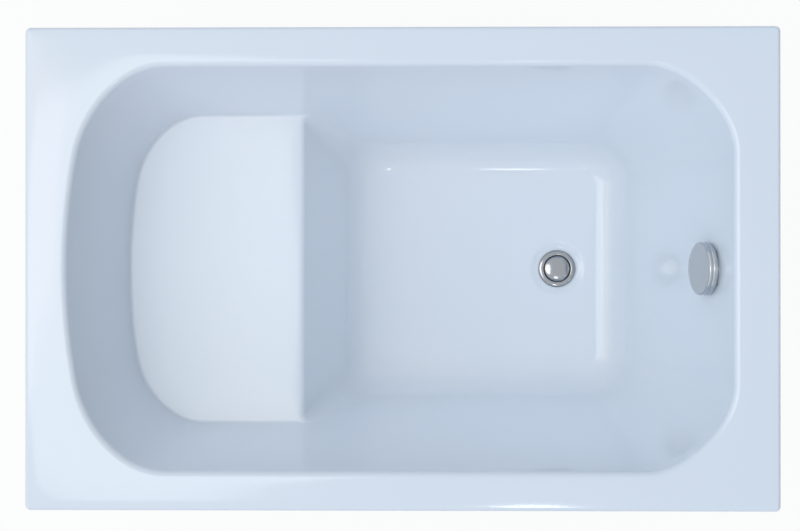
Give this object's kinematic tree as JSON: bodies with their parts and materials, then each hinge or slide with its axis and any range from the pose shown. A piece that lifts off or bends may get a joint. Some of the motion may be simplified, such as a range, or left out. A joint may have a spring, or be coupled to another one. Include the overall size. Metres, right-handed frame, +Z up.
{
  "type": "japanese soaking tub",
  "caption": "Short deep sitting bath with a moulded bench seat, a foot well, a pop-up waste and a turn-knob overflow, on an adjustable steel frame.",
  "frame": {"origin": "on the floor, below the middle of the rim", "axes": "+X along the bath towards the drain end, +Y across it towards the wall brackets, +Z up"},
  "size_m": [1.1, 0.705, 0.64],
  "materials": {
    "acrylic": "glossy cast acrylic, blue-white",
    "glass_fibre": "rough sprayed glass fibre",
    "board": "raw chipboard",
    "frame_steel": "zinc-grey coated tube",
    "zinc_steel": "zinc-plated steel",
    "white_plastic": "moulded white plastic",
    "foot_rubber": "black rubber",
    "seal_rubber": "black seal rubber",
    "chrome": "polished chrome plate",
    "brass": "turned brass",
    "hose_plastic": "ribbed pale grey hose",
    "cable_sheath": "black sheathed cable"
  },
  "bodies": {
    "bath": {"acrylic_shell": "acrylic", "glass_fibre_backing": "glass_fibre", "rim_boards_side": "board", "rim_boards_end": "board", "seat_board": "board", "floor_board": "board", "top_rail_front": "frame_steel", "top_rail_back": "frame_steel", "top_rail_seat_end": "frame_steel", "top_rail_drain_end": "frame_steel", "corner_post_1": "frame_steel", "corner_post_2": "frame_steel", "corner_post_3": "frame_steel", "corner_post_4": "frame_steel", "base_rail_front": "frame_steel", "base_rail_back": "frame_steel", "base_rail_seat_end": "frame_steel", "base_rail_drain_end": "frame_steel", "floor_rail_front": "frame_steel", "floor_rail_back": "frame_steel", "seat_rail": "frame_steel", "seat_post_front": "frame_steel", "seat_post_back": "frame_steel", "rim_screws": "zinc_steel", "board_screws": "zinc_steel", "wall_brackets": "frame_steel", "post_plugs": "white_plastic", "lock_nuts": "zinc_steel", "waste_flange": "chrome", "waste_gasket": "seal_rubber", "under_gasket": "seal_rubber", "waste_body": "white_plastic", "trap_nut": "white_plastic", "trap_seal": "seal_rubber", "trap_cup": "white_plastic", "trap_cap": "white_plastic", "overflow_plate": "chrome", "overflow_gasket": "seal_rubber", "overflow_body": "white_plastic", "overflow_screws": "chrome", "hose_nuts": "white_plastic", "overflow_hose": "hose_plastic", "pull_cable": "cable_sheath"},
    "knob": {"overflow_knob": "chrome", "knob_spindle": "brass"},
    "lever": {"lift_lever": "brass"},
    "plug": {"plug_cap": "chrome", "plug_seal": "seal_rubber", "plug_stem": "brass"},
    "foot_1": {"foot_pad_1": "foot_rubber"},
    "stud_1": {"foot_stud_1": "zinc_steel"},
    "foot_2": {"foot_pad_2": "foot_rubber"},
    "stud_2": {"foot_stud_2": "zinc_steel"},
    "foot_3": {"foot_pad_3": "foot_rubber"},
    "stud_3": {"foot_stud_3": "zinc_steel"},
    "foot_4": {"foot_pad_4": "foot_rubber"},
    "stud_4": {"foot_stud_4": "zinc_steel"}
  },
  "joints": [
    {"name": "knob_turn", "type": "hinge", "parent": "bath", "child": "knob", "pos_m": [0.46516, 0, 0.555], "axis": [0.9763, 0, -0.2164], "range_deg": [0, 100]},
    {"name": "lever_tip", "type": "hinge", "parent": "bath", "child": "lever", "pos_m": [0.28786, 0, 0.126], "axis": [0, 1, 0], "range_deg": [0, 30.82]},
    {"name": "plug_lift", "type": "slide", "parent": "bath", "child": "plug", "axis": [0, 0, 1], "range_m": [0, 0.0085]},
    {"name": "foot_1_level", "type": "slide", "parent": "bath", "child": "foot_1", "axis": [0, 0, 1], "range_m": [-0.02, 0.02]},
    {"name": "stud_1_turn", "type": "hinge", "parent": "foot_1", "child": "stud_1", "pos_m": [-0.5275, -0.33, 0.05], "axis": [0, 0, 1], "range_deg": [-4120, 4120]},
    {"name": "foot_2_level", "type": "slide", "parent": "bath", "child": "foot_2", "axis": [0, 0, 1], "range_m": [-0.02, 0.02]},
    {"name": "stud_2_turn", "type": "hinge", "parent": "foot_2", "child": "stud_2", "pos_m": [0.5275, -0.33, 0.05], "axis": [0, 0, 1], "range_deg": [-4120, 4120]},
    {"name": "foot_3_level", "type": "slide", "parent": "bath", "child": "foot_3", "axis": [0, 0, 1], "range_m": [-0.02, 0.02]},
    {"name": "stud_3_turn", "type": "hinge", "parent": "foot_3", "child": "stud_3", "pos_m": [-0.5275, 0.33, 0.05], "axis": [0, 0, 1], "range_deg": [-4120, 4120]},
    {"name": "foot_4_level", "type": "slide", "parent": "bath", "child": "foot_4", "axis": [0, 0, 1], "range_m": [-0.02, 0.02]},
    {"name": "stud_4_turn", "type": "hinge", "parent": "foot_4", "child": "stud_4", "pos_m": [0.5275, 0.33, 0.05], "axis": [0, 0, 1], "range_deg": [-4120, 4120]}
  ],
  "couplings": [
    {"joint": "lever_tip", "follows": "knob_turn", "ratio": 0.308},
    {"joint": "plug_lift", "follows": "knob_turn", "m_per_rad": 0.00487},
    {"joint": "stud_1_turn", "follows": "foot_1_level", "rad_per_m": 3590.4},
    {"joint": "stud_2_turn", "follows": "foot_2_level", "rad_per_m": 3590.4},
    {"joint": "stud_3_turn", "follows": "foot_3_level", "rad_per_m": 3590.4},
    {"joint": "stud_4_turn", "follows": "foot_4_level", "rad_per_m": 3590.4}
  ]
}
